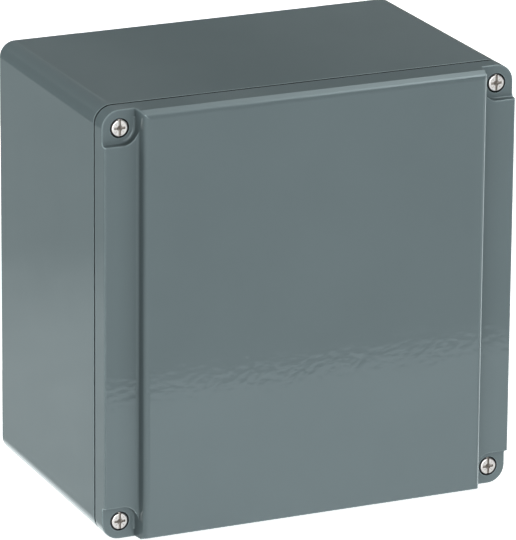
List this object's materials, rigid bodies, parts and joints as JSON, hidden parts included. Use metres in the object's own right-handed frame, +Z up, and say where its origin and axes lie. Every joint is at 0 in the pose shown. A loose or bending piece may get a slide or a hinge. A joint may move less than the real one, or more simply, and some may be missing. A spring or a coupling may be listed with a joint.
{
  "type": "wall-mounting metal enclosure",
  "caption": "Square metal wall enclosure with a stepped lid, recessed captive corner screws, a seal in the lid, a mounting plate and earth terminals inside.",
  "frame": {"origin": "centre of the rear face, on the plane of the four corner pads that touch the wall", "axes": "+Y into the wall, -Y out towards the lid, +Z up, +X to the right of someone facing the lid"},
  "size_m": [0.22, 0.1466, 0.22],
  "materials": {
    "grey_paint": "gloss",
    "seal_rubber": "matte",
    "bright_steel": "polished",
    "ring_plastic": "satin",
    "zinc_sheet": "satin",
    "zinc_hardware": "satin",
    "plain_brass": "satin"
  },
  "bodies": {
    "base": {"base_casting": "grey_paint", "mounting_plate": "zinc_sheet", "plate_screw_top_left": "zinc_hardware", "plate_screw_top_right": "zinc_hardware", "plate_screw_bottom_left": "zinc_hardware", "plate_screw_bottom_right": "zinc_hardware", "plate_spring_washer_top_left": "zinc_hardware", "plate_spring_washer_top_right": "zinc_hardware", "plate_spring_washer_bottom_left": "zinc_hardware", "plate_spring_washer_bottom_right": "zinc_hardware", "base_earth_saddle": "plain_brass", "base_earth_spring_washer": "zinc_hardware", "base_earth_screw": "zinc_hardware"},
    "lid": {"lid_casting": "grey_paint", "lid_gasket": "seal_rubber", "lid_earth_saddle": "plain_brass", "lid_earth_spring_washer": "zinc_hardware", "lid_earth_screw": "zinc_hardware"},
    "ring_top_left": {"retaining_ring_top_left": "ring_plastic"},
    "screw_top_left": {"lid_screw_top_left": "bright_steel"},
    "ring_top_right": {"retaining_ring_top_right": "ring_plastic"},
    "screw_top_right": {"lid_screw_top_right": "bright_steel"},
    "ring_bottom_left": {"retaining_ring_bottom_left": "ring_plastic"},
    "screw_bottom_left": {"lid_screw_bottom_left": "bright_steel"},
    "ring_bottom_right": {"retaining_ring_bottom_right": "ring_plastic"},
    "screw_bottom_right": {"lid_screw_bottom_right": "bright_steel"}
  },
  "joints": [
    {"name": "lid_lift", "type": "slide", "parent": "base", "child": "lid", "axis": [0, -1, 0], "range_m": [0, 0.25]},
    {"name": "screw_travel_top_left", "type": "slide", "parent": "lid", "child": "ring_top_left", "axis": [0, -1, 0], "range_m": [0, 0.008]},
    {"name": "screw_turn_top_left", "type": "hinge", "parent": "ring_top_left", "child": "screw_top_left", "pos_m": [-0.1008, -0.1335, 0.1008], "axis": [0, -1, 0], "range_deg": [0, 3600]},
    {"name": "screw_travel_top_right", "type": "slide", "parent": "lid", "child": "ring_top_right", "axis": [0, -1, 0], "range_m": [0, 0.008]},
    {"name": "screw_turn_top_right", "type": "hinge", "parent": "ring_top_right", "child": "screw_top_right", "pos_m": [0.1008, -0.1335, 0.1008], "axis": [0, -1, 0], "range_deg": [0, 3600]},
    {"name": "screw_travel_bottom_left", "type": "slide", "parent": "lid", "child": "ring_bottom_left", "axis": [0, -1, 0], "range_m": [0, 0.008]},
    {"name": "screw_turn_bottom_left", "type": "hinge", "parent": "ring_bottom_left", "child": "screw_bottom_left", "pos_m": [-0.1008, -0.1335, -0.1008], "axis": [0, -1, 0], "range_deg": [0, 3600]},
    {"name": "screw_travel_bottom_right", "type": "slide", "parent": "lid", "child": "ring_bottom_right", "axis": [0, -1, 0], "range_m": [0, 0.008]},
    {"name": "screw_turn_bottom_right", "type": "hinge", "parent": "ring_bottom_right", "child": "screw_bottom_right", "pos_m": [0.1008, -0.1335, -0.1008], "axis": [0, -1, 0], "range_deg": [0, 3600]}
  ],
  "couplings": [
    {"joint": "screw_turn_top_left", "follows": "screw_travel_top_left", "rad_per_m": 7854},
    {"joint": "screw_turn_top_right", "follows": "screw_travel_top_right", "rad_per_m": 7854},
    {"joint": "screw_turn_bottom_left", "follows": "screw_travel_bottom_left", "rad_per_m": 7854},
    {"joint": "screw_turn_bottom_right", "follows": "screw_travel_bottom_right", "rad_per_m": 7854}
  ]
}
